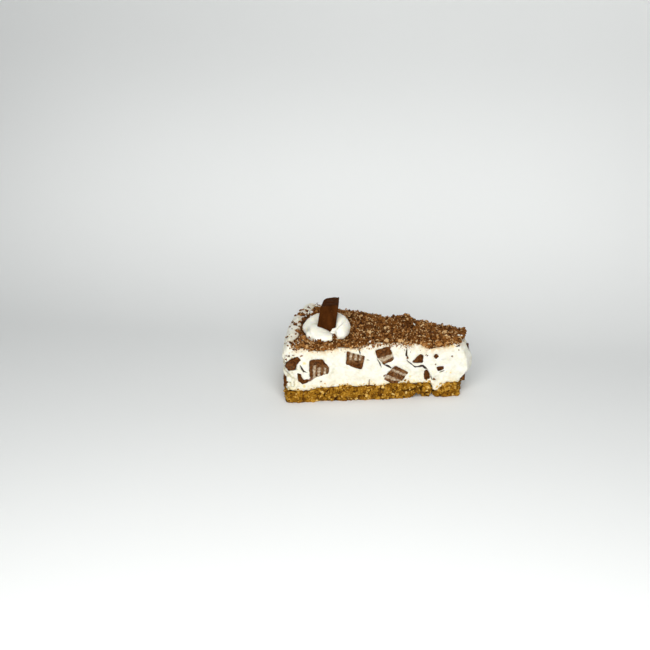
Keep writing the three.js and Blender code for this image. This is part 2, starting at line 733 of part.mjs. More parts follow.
function addRosette() {
  addNode('cream_rosette', rosetteBody().subtract(fingerBody(GAP)), whippedCream);
  addNode('wafer_finger', fingerBody(0), chocolate);
}

addBase();
addFilling();
addTopping();
addRosette();

export default slice;
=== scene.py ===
"""The looks of a slice of unbaked cheesecake: crumb base, cream filling with pieces of chocolate wafer
bar, grated chocolate, a cream rosette and a wafer finger. Shapes are worked out in millimetres, in the
part's frame."""

import json
import math

import bmesh
import bpy
import numpy as np
from mathutils import Matrix, Vector
from mathutils.kdtree import KDTree


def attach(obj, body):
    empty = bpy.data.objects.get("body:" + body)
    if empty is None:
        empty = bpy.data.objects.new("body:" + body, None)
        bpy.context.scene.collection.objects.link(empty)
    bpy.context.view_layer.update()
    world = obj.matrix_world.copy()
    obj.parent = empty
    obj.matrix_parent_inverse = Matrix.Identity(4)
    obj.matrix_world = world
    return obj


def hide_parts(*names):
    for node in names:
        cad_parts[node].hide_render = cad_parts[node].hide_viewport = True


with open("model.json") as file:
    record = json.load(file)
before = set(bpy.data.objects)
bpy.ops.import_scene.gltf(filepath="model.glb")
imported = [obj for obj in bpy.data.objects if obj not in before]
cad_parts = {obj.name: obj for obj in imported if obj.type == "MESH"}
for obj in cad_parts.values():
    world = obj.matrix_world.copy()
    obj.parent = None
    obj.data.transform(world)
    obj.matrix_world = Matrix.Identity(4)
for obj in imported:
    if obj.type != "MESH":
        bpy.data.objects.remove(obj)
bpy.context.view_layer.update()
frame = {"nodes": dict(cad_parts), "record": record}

MM = 0.001

# The slice: the cake's radius and middle, half its angle, and where its parts lie
CAKE_RADIUS = 135.0
HALF_ANGLE = math.radians(15)
APEX = np.array([81.48, 0.09, 0.0])
NEAR_OUT = np.array([math.sin(HALF_ANGLE), -math.cos(HALF_ANGLE), 0.0])
FAR_OUT = np.array([math.sin(HALF_ANGLE), math.cos(HALF_ANGLE), 0.0])
NEAR_ALONG = np.array([math.cos(HALF_ANGLE), math.sin(HALF_ANGLE), 0.0])
LIP_HEIGHT = 35.9
TOPPING_START = 8.8
ROSETTE_U = 22.9
ROSETTE_ANGLE = -0.1161
ROSETTE_RADIUS = 14.0
ROSETTE_BOTTOM = 35.6
FINGER_MIDDLE_X = -26.0
TOPPING_TOP = 38.0

# Folds in the rosette's edge: depth, angle in degrees, its turn for each millimetre outward, the reach
# at which the fold starts, and its width in radians
ROSETTE_FOLDS = (
    (1.7, -52.0, 0.5, 8.5, 0.06),
    (0.6, -130.0, 7.0, 9.0, 0.1),
    (2.4, -149.0, 0.0, 9.5, 0.24),
)

# Cell sizes of the even meshes, depth of the near cut's finer mesh, and how few points make a scrap
BASE_VOXEL = 0.46
CREAM_VOXEL = 0.64
TOPPING_VOXEL = 0.6
ROSETTE_VOXEL = 0.4
FINGER_VOXEL = 0.3
BAR_VOXEL = 0.34
FINE_DEPTH = 1.4
SCRAP_POINTS = 60

# A grain's edge, as a share of the grains' size
GRAIN_EDGE = 0.85

# How many loose bits there are of each kind
BASE_CRUMBS = {"biscuit_base_main": 1500, "biscuit_base_lump": 150, "biscuit_base_tip": 280}
CLINGING_CRUMBS = 200
GRATED_CRUMBS = 2100
GRATED_DUST = 4600
SHAVINGS = 1100
LIP_CRUMBS = 40
FACE_CRUMBS = 320
FOOT_CRUMBS = 80
EDGE_DABS = 75
LUMPS_IN_HEAP = 3
CRUMBS_IN_FLECK = 7
CRUMBS_IN_SPECK = 3

# A shaving: its points along and across, and half its thickness as a share of its length
STRIP_STEPS = 5
STRIP_ROWS = 3
STRIP_HALF_THICKNESS = 0.06

# The paper: how far it reaches in front and sideways, its bend behind the slice, and its slope as a wall
FLOOR_REACH = 3000.0
PAPER_HALF_WIDTH = 4000.0
BEND_START = 60.0
BEND_RADIUS = 260.0
BEND_STEPS = 24
WALL_SLOPE = math.radians(80)
WALL_HEIGHT = 2500.0

# Lamps: place, target, width and height, watts and colour
FRONT_SOFTBOX = ((50, -540, 400), (0, -80, 0), (650, 650), 4.8, (1.0, 0.99, 0.97))
WALL_LIGHT = ((-60, 130, 300), (-60, 205, 45), (640, 70), 0.055, (1.0, 1.0, 0.98))
WALL_LIGHT_SPREAD = math.radians(65)
ROOM_STRENGTH = 0.14

# The camera that took the photograph, in the part's frame
CAMERA_TURN = math.radians(9.311)
CAMERA_DOWN = math.radians(21.515)
CAMERA_DISTANCE = 704.62
CAMERA_RIGHT = 45.04
CAMERA_UP = -35.52
CAMERA_TARGET = np.array([13.98, 0.09, 0.0])
FOCAL_SHARE = 1200 / 650
SENSOR = 36.0

# How far light spreads in cream, for red, green and blue
CREAM_SPREAD = (1.0, 0.85, 0.55)


# Repeatable noise in millimetres

def lattice(cell, seed):
    """A random number from 0 to 1 for each cell of whole numbers."""
    mixed = np.sin(cell @ np.array([127.1, 311.7, 74.7]) + 17.31 * seed) * 43758.5453
    return mixed - np.floor(mixed)


def bumps(points, size, seed=0):
    """Smooth noise from -1 to 1 with bumps of that size, which may differ by axis."""
    place = points / size + 0.37 * seed
    cell = np.floor(place)
    part = place - cell
    part = part * part * (3 - 2 * part)
    total = np.zeros(len(points))
    for corner in np.ndindex(2, 2, 2):
        weight = np.prod(np.where(corner, part, 1 - part), axis=1)
        total += weight * lattice(cell + corner, seed)
    return 2 * total - 1


def grains(points, size, seed=0):
    """Distance to the nearest grain's middle, as a share of the size, and that grain's number."""
    place = points / size
    cell = np.floor(place)
    nearest = np.full(len(points), 9.0)
    number = np.zeros(len(points))
    for step in np.ndindex(3, 3, 3):
        here = cell + step - 1
        shift = np.stack([lattice(here, seed + k) for k in (1, 2, 3)], axis=1)
        distance = np.linalg.norm(place - here - 0.1 - 0.8 * shift, axis=1)
        closer = distance < nearest
        number[closer] = lattice(here[closer], seed + 4)
        nearest[closer] = distance[closer]
    return nearest, number


def dome(distance):
    """Height of a rounded grain: 1 at its middle, 0 at its edge and less than that beyond."""
    return 1 - (distance / GRAIN_EDGE) ** 2


def smoothstep(value, low, high):
    """0 up to low, 1 from high on, and a smooth rise between them."""
    share = np.clip((value - low) / (high - low), 0, 1)
    return share * share * (3 - 2 * share)


def within(values, low, high):
    return (values > low) & (values < high)


# Places in the slice

def from_rim(points):
    """Distance in from the rim."""
    return CAKE_RADIUS - np.hypot(points[:, 0] - APEX[0], points[:, 1] - APEX[1])


def inside_near(points):
    """Distance behind the near cut."""
    return -(points - APEX) @ NEAR_OUT


def lip_width(points):
    """The bare lip is narrower toward the two cuts, most at the near one."""
    share = 0.5 - np.arctan2(APEX[1] - points[:, 1], APEX[0] - points[:, 0]) / (2 * HALF_ANGLE)
    return TOPPING_START * (0.5 + 0.5 * smoothstep(share, 0, 0.2) - 0.2 * smoothstep(share, 0.85, 1))


def slice_point(u, angle, z):
    """The point at a distance from the rim, an angle from the slice's middle line and a height."""
    reach = CAKE_RADIUS - u
    return np.array([APEX[0] - reach * math.cos(angle), APEX[1] + reach * math.sin(angle), z])


def along_near(points):
    """Distance from the rim along the near cut."""
    return CAKE_RADIUS + (points - APEX) @ NEAR_ALONG


def distance_to_path(flat, path):
    """Distance of points in a plane from a broken line, and how far along it they are, 0 to 1."""
    path = np.array(path, dtype=float)
    lengths = np.linalg.norm(np.diff(path, axis=0), axis=1)
    before = np.concatenate([[0], np.cumsum(lengths)])
    best = np.full(len(flat), 1e9)
    share = np.zeros(len(flat))
    for start, end, length, sofar in zip(path, path[1:], lengths, before):
        way = (end - start) / length
        along = np.clip((flat - start) @ way, 0, length)
        distance = np.linalg.norm(flat - start - along[:, None] * way, axis=1)
        closer = distance < best
        best[closer] = distance[closer]
        share[closer] = (sofar + along[closer]) / before[-1]
    return best, share


def along_paths(points, paths, waver, seed):
    """How well inside one of some bands on the near cut each point is, from 0 to 1."""
    flat = np.stack([along_near(points), points[:, 2]], axis=1)
    share = np.zeros(len(points))
    for path, half in paths:
        distance = distance_to_path(flat, path)[0] + waver * bumps(points, 1.1, seed)
        share = np.maximum(share, 1 - smoothstep(distance, 0.4 * half, half))
    return share


def in_spots(points):
    """The same for the spots."""
    share = np.zeros(len(points))
    waver = 0.5 * bumps(points, 1.2, 62)
    for u, height, radius in SPOTS:
        distance = np.hypot(along_near(points) - u, points[:, 2] - height) + waver
        share = np.maximum(share, 1 - smoothstep(distance, 0.1 * radius, radius))
    return share


# Cracks in the near cut: distance from the rim and height of their points, and their width before they
# open a little further
CRACK_OPENING = 1.12
CRACKS = (
    (((8.7, 22.9), (10.7, 19.2), (12.7, 18.4)), 0.7),
    (((41.8, 31.5), (42.5, 29.6), (42.7, 27.9)), 0.7),
    (((46.2, 24.9), (48.0, 24.4)), 0.35),
    (((52.3, 25.6), (53.9, 22.4), (55, 19.6)), 0.8),
    (((56.4, 21.4), (58.6, 20.4), (61, 18.7)), 0.8),
    (((69.3, 31.6), (69.1, 26.6), (70.4, 24.8)), 0.8),
    (((69.4, 23.5), (72.4, 20.6), (74.4, 19.2), (78.8, 19.6), (80.9, 17.5), (82.7, 14.3), (84.3, 10.8)),
     0.9),
    (((88.2, 15.3), (89.6, 15.6), (91.2, 16.3)), 0.5),
    (((97.6, 30.8), (100.0, 31.5), (102.0, 32.2)), 1.0),
)

# Chocolate smeared over the cut by the knife: paths and half widths
SMEARS = (
    (((11.6, 13.0), (14.2, 14.0), (17.4, 16.4)), 1.4),
    (((7.4, 18.0), (8.2, 15.6)), 0.8),
    (((47.8, 7.4), (48.2, 12.2)), 0.5),
    (((56.5, 14.3), (57.6, 15.2)), 0.6),
)

# Biscuit-coloured spots on the cut: distance from the rim, height and radius
SPOTS = (
    (11.0, 24.1, 1.2), (10.9, 10.1, 1.2), (47.7, 9.9, 1.2), (50.5, 9.8, 1.3), (49.3, 11.4, 1.0),
    (71.1, 13.7, 1.3), (73.6, 10.9, 1.1), (92.5, 15.8, 0.7), (94.9, 15.0, 0.6), (48.3, 16.6, 0.5),
    (92.3, 31.4, 1.8), (95.5, 31.2, 1.5),
)

# Crumbs of chocolate on the cut: distance from the rim, height and half length
SPECKS = (
    (5.0, 32.6, 0.9), (6.8, 32.3, 0.5), (5.2, 29.4, 0.7), (9.4, 28.8, 0.9), (1.2, 29.1, 0.5),
    (0.9, 26.9, 0.6), (2.1, 29.0, 0.7), (8.0, 17.4, 0.7), (20.4, 12.4, 0.5), (57.7, 34.3, 0.6),
    (70.2, 24.8, 0.9), (80.4, 26.1, 0.6), (95.4, 25.0, 0.5), (86.2, 20.4, 0.45), (85.1, 11.7, 0.9),
    (4.2, 27.6, 0.6), (47.8, 8.6, 0.8), (83.2, 12.5, 0.6),
)

# Larger flecks on the bare lip: distance from the rim, angle in degrees and half length
LIP_FLECKS = (
    (3.0, 9.4, 1.1), (3.6, 5.7, 1.1), (6.0, 4.9, 1.4), (7.8, 5.4, 1.5), (5.2, -1.6, 1.6),
    (7.2, -0.1, 1.0), (7.0, -6.3, 1.1), (8.2, -7.2, 1.4), (6.2, -8.5, 0.6), (4.3, -10.4, 0.4),
    (5.2, -14.2, 1.3), (7.4, -14.4, 1.4), (1.7, 4.7, 0.7), (2.2, 0.1, 0.7), (2.4, -3.7, 0.6),
    (2.0, -9.6, 0.7), (1.1, -13.2, 0.8), (6.2, 10.8, 1.2), (6.4, 8.6, 1.3), (8.6, -3.0, 0.9),
    (7.6, 2.4, 0.8),
)

# Pale lumps in the grated chocolate: distance from the rim and angle in degrees
PALE_LUMPS = ((56.7, 0.4), (49.7, -7.1), (92.0, -0.5), (66.6, -16.3), (63.4, -17.0), (93.6, -12.1),
              (57.6, -15.5), (38.5, 10.0), (31.0, 12.4), (12.7, -16.6))

# Dabs of cream in it, in the same way
CREAM_LUMPS = ((73.6, 6.3), (98.8, -4.0), (47.2, -16.6))

ROSETTE_MIDDLE = slice_point(ROSETTE_U, ROSETTE_ANGLE, ROSETTE_BOTTOM)


def from_rosette(points):
    return np.hypot(points[:, 0] - ROSETTE_MIDDLE[0], points[:, 1] - ROSETTE_MIDDLE[1])


def toward(angle, middle, wide):
    """How near an angle is to a middle one in degrees, fading over a width in radians."""
    turn = np.angle(np.exp(1j * (angle - np.radians(middle))))
    return np.exp(-((turn / wide) ** 2))


# Meshes

def link(name, data):
    made = bpy.data.objects.new(name, data)
    bpy.context.scene.collection.objects.link(made)
    return made


def edge_ends(mesh):
    """The two points of each edge, as two arrays."""
    ends = np.empty(len(mesh.edges) * 2, dtype=int)
    mesh.edges.foreach_get("vertices", ends)
    return ends.reshape(-1, 2).T


def drop_scraps(mesh):
    """Removes the small loose bits that an even mesh leaves of thin edges."""
    first, second = edge_ends(mesh)
    part = np.arange(len(mesh.vertices))
    before = part - 1
    while (part != before).any():
        before = part.copy()
        lowest = np.minimum(part[first], part[second])
        np.minimum.at(part, first, lowest)
        np.minimum.at(part, second, lowest)
        part = part[part]
    scrap = np.bincount(part)[part] < SCRAP_POINTS
    if not scrap.any():
        return
    shape = bmesh.new()
    shape.from_mesh(mesh)
    loose = [corner for corner in shape.verts if scrap[corner.index]]
    bmesh.ops.delete(shape, geom=loose, context="VERTS")
    shape.to_mesh(mesh)
    shape.free()


def remeshed(node, name, voxel, rounds=0):
    """A copy of a solid with an even mesh, relaxed for that many rounds."""
    piece = link(name, frame["nodes"][node].data.copy())
    remesh = piece.modifiers.new("even mesh", "REMESH")
    remesh.mode = "VOXEL"
    remesh.voxel_size = voxel * MM
    evaluated = piece.evaluated_get(bpy.context.evaluated_depsgraph_get())
    even = bpy.data.meshes.new_from_object(evaluated)
    drop_scraps(even)
    piece.modifiers.clear()
    piece.data = even
    relax(piece, rounds)
    return piece


def read(mesh, what):
    """The place or the normal of each point, in rows."""
    values = np.empty(len(mesh.vertices) * 3)
    mesh.vertices.foreach_get(what, values)
    return values.reshape(-1, 3)


def points_of(piece):
    return read(piece.data, "co") / MM


def set_points(piece, points):
    piece.data.vertices.foreach_set("co", (points * MM).ravel())
    piece.data.update()


def refine(piece, chosen):
    """Splits the faces whose corners are all chosen, each into four."""
    shape = bmesh.new()
    shape.from_mesh(piece.data)
    edges = [edge for edge in shape.edges if all(chosen[corner.index] for corner in edge.verts)]
    bmesh.ops.subdivide_edges(shape, edges=edges, cuts=1, use_grid_fill=True)
    shape.to_mesh(piece.data)
    shape.free()


def relax(piece, rounds):
    """Moves each point half way to the middle of its neighbours, round after round."""
    first, second = edge_ends(piece.data)
    points = points_of(piece)
    count = len(points)
    neighbours = np.bincount(first, minlength=count) + np.bincount(second, minlength=count)
    for _ in range(rounds):
        sums = [
            np.bincount(first, column[second], count) + np.bincount(second, column[first], count)
            for column in points.T
        ]
        middle = np.stack(sums, axis=1) / neighbours[:, None]
        points += 0.5 * (middle - points)
    set_points(piece, points)


def push(piece, height):
    """Moves each point out along its normal by that many millimetres, but never below the floor."""
    points = points_of(piece) + read(piece.data, "normal") * height[:, None]
    points[:, 2] = np.maximum(points[:, 2], 0)
    set_points(piece, points)


def mark(piece, name, values):
    """Stores a number for each point, which the piece's material reads."""
    layer = piece.data.attributes.new(name, "FLOAT", "POINT")
    layer.data.foreach_set("value", np.asarray(values, dtype=np.float32))


def smooth(piece):
    piece.data.shade_smooth()
    return piece


def tree_of(points):
    tree = KDTree(len(points))
    for n, point in enumerate(points):
        tree.insert(point, n)
    tree.balance()
    return tree


def distance_to(tree, points):
    return np.array([tree.find(point)[2] for point in points])


# Scattered crumbs

def ball_templates(divisions, count, roughness, seed):
    """Unit balls with uneven surfaces, all with the same faces."""
    mesh = bpy.data.meshes.new("ball")
    ball = bmesh.new()
    bmesh.ops.create_icosphere(ball, subdivisions=divisions, radius=1)
    ball.to_mesh(mesh)
    ball.free()
    points = read(mesh, "co")
    faces = np.array([list(face.vertices) for face in mesh.polygons])
    bpy.data.meshes.remove(mesh)
    shapes = []
    for n in range(count):
        coarse = roughness * bumps(points, 0.75, seed + n)
        fine = 0.4 * roughness * bumps(points, 0.35, seed + n)
        shapes.append(points * (1 + coarse + fine)[:, None])
    return np.array(shapes), faces


def turns(normals, random):
    """A matrix for each normal that stands z on it, with a random turn about it."""
    count = len(normals)
    up = normals / np.linalg.norm(normals, axis=1)[:, None]
    side = np.cross(up, random.normal(size=(count, 3)))
    side /= np.linalg.norm(side, axis=1)[:, None]
    return np.stack([side, np.cross(up, side), up], axis=2)


def uneven(size, low, high, random):
    """Three half lengths for each bit: its size times shares drawn from low to high."""
    return size[:, None] * random.uniform(low, high, (len(size), 3))


def scattered(name, slot, templates, places, normals, sizes, tones, random):
    """One mesh of many bits, none of which reaches below the floor. sizes holds three half lengths for
    each, the last of them along its normal."""
    shapes, faces = templates
    count = len(places)
    local = shapes[random.integers(0, len(shapes), count)] * sizes[:, None, :]
    world = np.einsum("nij,nvj->nvi", turns(normals, random), local) + places[:, None, :]
    world[:, :, 2] = np.maximum(world[:, :, 2], 0)
    corner_count = shapes.shape[1]
    first_corners = np.arange(count) * corner_count
    all_faces = (faces[None] + first_corners[:, None, None]).reshape(-1, faces.shape[1])
    mesh = bpy.data.meshes.new(name)
    mesh.from_pydata((world.reshape(-1, 3) * MM).tolist(), [], all_faces.tolist())
    mesh.update()
    piece = link(name, mesh)
    mark(piece, "tone", np.repeat(tones, corner_count))
    return dress(piece, slot)


def surface_samples(piece, count, random, weight):
    """Random places on a piece, with their normals. weight says how densely they lie at each point."""
    points = points_of(piece)
    normal = read(piece.data, "normal")
    chance = np.clip(weight(points, normal), 0, None)
    picked = random.choice(len(points), size=count, p=chance / chance.sum())
    jitter = random.uniform(-0.25, 0.25, size=(count, 3))
    return points[picked] + jitter, normal[picked]


def joined(*sources):
    """The places and the normals of several sources in one."""
    return [np.concatenate(rows) for rows in zip(*sources)]


def nearest_on(piece, wanted, facing):
    """The nearest points of a piece to some places, of those that face a way, and their normals."""
    points = points_of(piece)
    normal = read(piece.data, "normal")
    able = normal @ facing > 0.3
    points, normal = points[able], normal[able]
    tree = tree_of(points)
    found = np.array([tree.find(place)[1] for place in wanted])
    return points[found], normal[found]


# Materials

def linear(red, green, blue):
    """A colour in the shader's own scale from one read off a screen."""
    parts = [
        value / 12.92 if value <= 0.04045 else ((value + 0.055) / 1.055) ** 2.4
        for value in (red / 255, green / 255, blue / 255)
    ]
    return (*parts, 1.0)


class Paint:
    """A material built from procedural nodes in object space, with sizes in millimetres."""

    def __init__(self, name, **uniform):
        self.material = bpy.data.materials.new(name)
        self.material.use_nodes = True
        self.tree = self.material.node_tree
        self.shader = self.tree.nodes["Principled BSDF"]
        self.place = self.tree.nodes.new("ShaderNodeTexCoord").outputs["Object"]
        for socket, value in uniform.items():
            self.shader.inputs[socket.replace("_", " ")].default_value = value

    def node(self, kind, inputs, **settings):
        made = self.tree.nodes.new("ShaderNode" + kind)
        for key, value in settings.items():
            setattr(made, key, value)
        for key, value in inputs.items():
            if isinstance(value, bpy.types.NodeSocket):
                self.tree.links.new(value, made.inputs[key])
            else:
                made.inputs[key].default_value = value
        return made

    def stretched(self, size):
        """Coordinates in which the size, one number or one for each axis, is one long."""
        sizes = size if isinstance(size, tuple) else (size,) * 3
        scale = [1 / (MM * length) for length in sizes]
        return self.node("Mapping", {"Vector": self.place, "Scale": scale}).outputs["Vector"]

    def noise(self, size, detail=2.0, roughness=0.5):
        inputs = {"Vector": self.stretched(size), "Scale": 1.0, "Detail": detail, "Roughness": roughness}
        return self.node("TexNoise", inputs).outputs["Fac"]

    def cells(self, size):
        """Distance to the nearest of some scattered points, as a share of the size."""
        inputs = {"Vector": self.stretched(size), "Scale": 1.0}
        return self.node("TexVoronoi", inputs).outputs["Distance"]

    def value(self, name):
        """What mark() stored under that name."""
        return self.node("Attribute", {}, attribute_name=name).outputs["Fac"]

    def span(self, value, low, high, to_low=0.0, to_high=1.0):
        """The value on a new scale, where low and high become to_low and to_high."""
        inputs = {"Value": value, "From Min": low, "From Max": high, "To Min": to_low, "To Max": to_high}
        return self.node("MapRange", inputs).outputs["Result"]

    def patchy(self, size, detail, low, high):
        """A value that wanders from low to high in patches of that size."""
        return self.span(self.noise(size, detail), 0.3, 0.7, low, high)

    def maths(self, operation, first, second):
        return self.node("Math", {0: first, 1: second}, operation=operation).outputs["Value"]

    def times(self, first, second):
        return self.maths("MULTIPLY", first, second)

    def ramp(self, value, *stops):
        """A colour for each value: stops are pairs of a place and a screen colour."""
        made = self.node("ValToRGB", {"Fac": value})
        elements = made.color_ramp.elements
        while len(elements) < len(stops):
            elements.new(0.5)
        for element, (place, colour) in zip(elements, stops):
            element.position = place
            element.color = linear(*colour)
        return made.outputs["Color"]

    def mix(self, factor, first, second):
        made = self.node("Mix", {"Factor": factor}, data_type="RGBA")
        first_colour, second_colour, mixed_colour = made.inputs[6], made.inputs[7], made.outputs[2]
        for socket, colour in ((first_colour, first), (second_colour, second)):
            if isinstance(colour, bpy.types.NodeSocket):
                self.tree.links.new(colour, socket)
            else:
                socket.default_value = linear(*colour)
        return mixed_colour

    def bump(self, height, depth, normal=None):
        """Relief of that depth, on top of another's where its normal is given."""
        inputs = {"Height": height, "Distance": depth * MM, "Strength": 1.0}
        if normal is not None:
            inputs["Normal"] = normal
        return self.node("Bump", inputs).outputs["Normal"]

    def finish(self, colour, roughness, normal):
        for socket, value in (("Base Color", colour), ("Roughness", roughness), ("Normal", normal)):
            self.tree.links.new(value, self.shader.inputs[socket])
        return self.material


def cream_paint():
    """Cream, stained where biscuit and chocolate touch it or were dragged over it, with painted shade in
    its hollows and cracks.
    """
    paint = Paint("cream", Subsurface_Weight=0.3, Subsurface_Scale=0.0015,
                  Subsurface_Radius=CREAM_SPREAD, Specular_IOR_Level=0.3)
    # Painted shade: darker in the torn corner's creases, in the dimples and in the low spots of the
    # bumps.
    shade = paint.span(paint.value("shaded_hollow"), 0, 1, 0, -0.4)
    mottle = paint.maths("ADD", paint.noise(3.2, 4.0, 0.6), shade)
    colour = paint.ramp(
        mottle, (0.08, (196, 188, 162)), (0.34, (236, 233, 215)),
        (0.56, (247, 246, 234)),
    )
    low = paint.times(paint.value("low"), paint.span(paint.noise(2.2, 4.0), 0.36, 0.6))
    stain = paint.maths("MAXIMUM", low, paint.value("spot"))
    colour = paint.mix(paint.times(stain, 0.85), colour, (236, 212, 138))
    tan = paint.times(paint.value("under_topping"), paint.span(paint.noise(1.4, 4.0), 0.32, 0.54))
    colour = paint.mix(tan, colour, (222, 184, 122))
    smear = paint.times(paint.value("smear"), paint.span(paint.noise(0.9, 3.0), 0.25, 0.45, 0.6, 1))
    colour = paint.mix(smear, colour, (112, 68, 34))
    # Cracks and the pocket walls round the bar pieces are painted dark: painted shade, with a little
    # chocolate lying in the cracks.
    colour = paint.mix(paint.value("crack"), colour, (54, 32, 16))
    rough = paint.patchy(1.5, 2.0, 0.45, 0.65)
    fine = paint.bump(paint.noise(0.8, 4.0, 0.6), 0.3)
    return paint.finish(colour, rough, paint.bump(paint.cells(1.5), 0.12, fine))


def whipped_paint():
    paint = Paint("whipped_cream", Subsurface_Weight=0.35, Subsurface_Scale=0.002,
                  Subsurface_Radius=CREAM_SPREAD, Specular_IOR_Level=0.3)
    colour = paint.ramp(paint.noise(4.0, 3.0), (0.3, (249, 246, 226)), (0.6, (254, 252, 238)))
    rough = paint.patchy(2.0, 2.0, 0.4, 0.55)
    fine = paint.bump(paint.noise(0.9, 3.0), 0.12)
    return paint.finish(colour, rough, paint.bump(paint.noise(2.6, 2.0), 0.25, fine))


def grated_paint():
    paint = Paint("grated_chocolate", Specular_IOR_Level=0.1)
    # The tone holds the bits' own colours and, on the topping, painted shade between clumps and painted
    # light on them.
    mixed = paint.maths("ADD", paint.value("tone"), paint.patchy(0.6, 3.0, -0.14, 0.14))
    colour = paint.ramp(
        mixed, (0.0, (44, 20, 2)), (0.26, (84, 45, 9)), (0.55, (130, 80, 30)),
        (0.82, (180, 128, 70)), (1.0, (230, 200, 150)),
    )
    rough = paint.patchy(0.8, 2.0, 0.5, 0.75)
    return paint.finish(colour, rough, paint.bump(paint.noise(0.35, 3.0), 0.08))


def biscuit_paint():
    paint = Paint("biscuit", Specular_IOR_Level=0.1)
    mixed = paint.maths("ADD", paint.value("tone"), paint.patchy(0.7, 3.0, -0.18, 0.18))
    colour = paint.ramp(
        mixed, (0.0, (76, 42, 2)), (0.3, (124, 80, 10)), (0.6, (163, 116, 28)),
        (0.85, (202, 155, 62)), (1.0, (234, 200, 124)),
    )
    # Painted shade in the pits and in the gaps between the grains.
    colour = paint.mix(paint.value("pit_shade"), colour, (66, 34, 4))
    rough = paint.patchy(0.8, 2.0, 0.7, 0.9)
    return paint.finish(colour, rough, paint.bump(paint.noise(0.4, 4.0, 0.65), 0.16))


def finger_paint():
    """The bar's coating where it is whole, with a thin bloom, pale dots and lines along it."""
    paint = Paint("finger_chocolate", Specular_IOR_Level=0.02)
    colour = paint.ramp(paint.noise((3.0, 3.0, 9.0), 3.0), (0.3, (54, 26, 5)), (0.7, (78, 41, 12)))
    bloom = paint.span(paint.noise(1.1, 4.0, 0.65), 0.6, 0.75, 0.0, 0.3)
    colour = paint.mix(bloom, colour, (124, 78, 38))
    dots = paint.span(paint.cells(1.6), 0.06, 0.12, 0.5, 0.0)
    colour = paint.mix(dots, colour, (150, 106, 66))
    rough = paint.patchy(1.5, 3.0, 0.6, 0.75)
    lines = paint.bump(paint.noise((0.7, 0.7, 12.0), 3.0), 0.2)
    return paint.finish(colour, rough, paint.bump(paint.noise(0.9, 4.0, 0.65), 0.3, lines))


def broken_paint():
    """The bar's coating where the knife cut it, with wafer dust dragged over it."""
    paint = Paint("broken_chocolate", Specular_IOR_Level=0.1)
    colour = paint.ramp(
        paint.noise(1.3, 4.0, 0.65), (0.34, (44, 20, 1)), (0.5, (82, 43, 8)),
        (0.68, (118, 70, 26)),
    )
    dust = paint.times(paint.value("pale"), paint.span(paint.noise(1.2, 4.0, 0.6), 0.42, 0.62, 0, 0.8))
    colour = paint.mix(dust, colour, (170, 134, 94))
    bloom = paint.span(paint.noise(0.8, 4.0, 0.65), 0.56, 0.74, 0.0, 0.3)
    colour = paint.mix(bloom, colour, (140, 92, 48))
    rough = paint.patchy(1.5, 3.0, 0.55, 0.75)
    return paint.finish(colour, rough, paint.bump(paint.noise(0.6, 4.0, 0.6), 0.12))


def wafer_paint():
    """Pale porous wafer, with chocolate dragged over its edges."""
    paint = Paint("wafer", Specular_IOR_Level=0.1)
    colour = paint.ramp(
        paint.noise(1.1, 4.0, 0.6), (0.3, (136, 104, 72)), (0.46, (190, 168, 138)),
        (0.7, (226, 214, 192)),
    )
    pores = paint.span(paint.cells(0.7), 0.0, 0.35, 0.5, 0.0)
    colour = paint.mix(pores, colour, (120, 84, 54))
    smeared = paint.times(paint.value("edge"), paint.span(paint.noise(1.3, 4.0), 0.36, 0.6, 0.0, 1.1))
    colour = paint.mix(smeared, colour, (98, 58, 26))
    rough = paint.patchy(1.0, 2.0, 0.75, 0.9)
    return paint.finish(colour, rough, paint.bump(paint.cells(0.55), 0.18))


PAINTS = {
    "cream": cream_paint(),
    "whipped_cream": whipped_paint(),
    "grated_chocolate": grated_paint(),
    "biscuit": biscuit_paint(),
    "chocolate": finger_paint(),
    "broken_chocolate": broken_paint(),
    "wafer": wafer_paint(),
}


def dress(piece, slot, *nodes, paint=None):
    """Gives a piece the material of its slot or of the paint named, hangs it on the root body and hides
    the nodes that it stands for.
    """
    piece.data.materials.clear()
    piece.data.materials.append(PAINTS[paint or slot])
    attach(piece, "root")
    if nodes:
        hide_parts(*nodes)
    return piece


# The crumb base

def base_piece(node):
    piece = remeshed(node, node + "_crumb", BASE_VOXEL, 2)
    points = points_of(piece)
    normal = read(piece.data, "normal")
    coarse, tone = grains(points, 2.7, 3)
    fine, fine_tone = grains(points, 1.1, 13)
    shaded_hollow = smoothstep(bumps(points, 2.0, 4), 0.3, 0.65)
    height = 0.9 * dome(coarse) + 0.4 * dome(fine) - 1.1 * shaded_hollow - 0.4
    crumbled = smoothstep(bumps(points, 5.0, 16), -0.1, 0.5)
    height -= 1.5 * smoothstep(3.0 - points[:, 2], 0, 2.6) * crumbled
    height -= 1.2 * smoothstep(2.0 - from_rim(points), 0, 1.5)
    height -= 1.2 * smoothstep(normal[:, 0], 0.5, 0.9)
    sides = 1 - 0.85 * smoothstep(np.abs(normal[:, 2]), 0.6, 0.9)
    push(piece, height * sides)
    mark(piece, "tone", 0.55 * tone + 0.3 * fine_tone + 0.05)
    # Painted shade in the hollows and in the gaps between the coarse grains.
    mark(piece, "pit_shade", np.clip(0.85 * shaded_hollow + 0.7 * smoothstep(coarse, 0.58, 0.88), 0, 1))
    return smooth(dress(piece, "biscuit", node))


def on_base_sides(points, normals):
    return (np.abs(normals[:, 2]) < 0.75) & (points[:, 2] > 0.5)


def just_above(base_tree):
    """Crumbs cling to the cream for a few millimetres above the base."""
    def weight(points, normals):
        return np.exp(-distance_to(base_tree, points) / 0.6) * (np.abs(normals[:, 2]) < 0.7)
    return weight


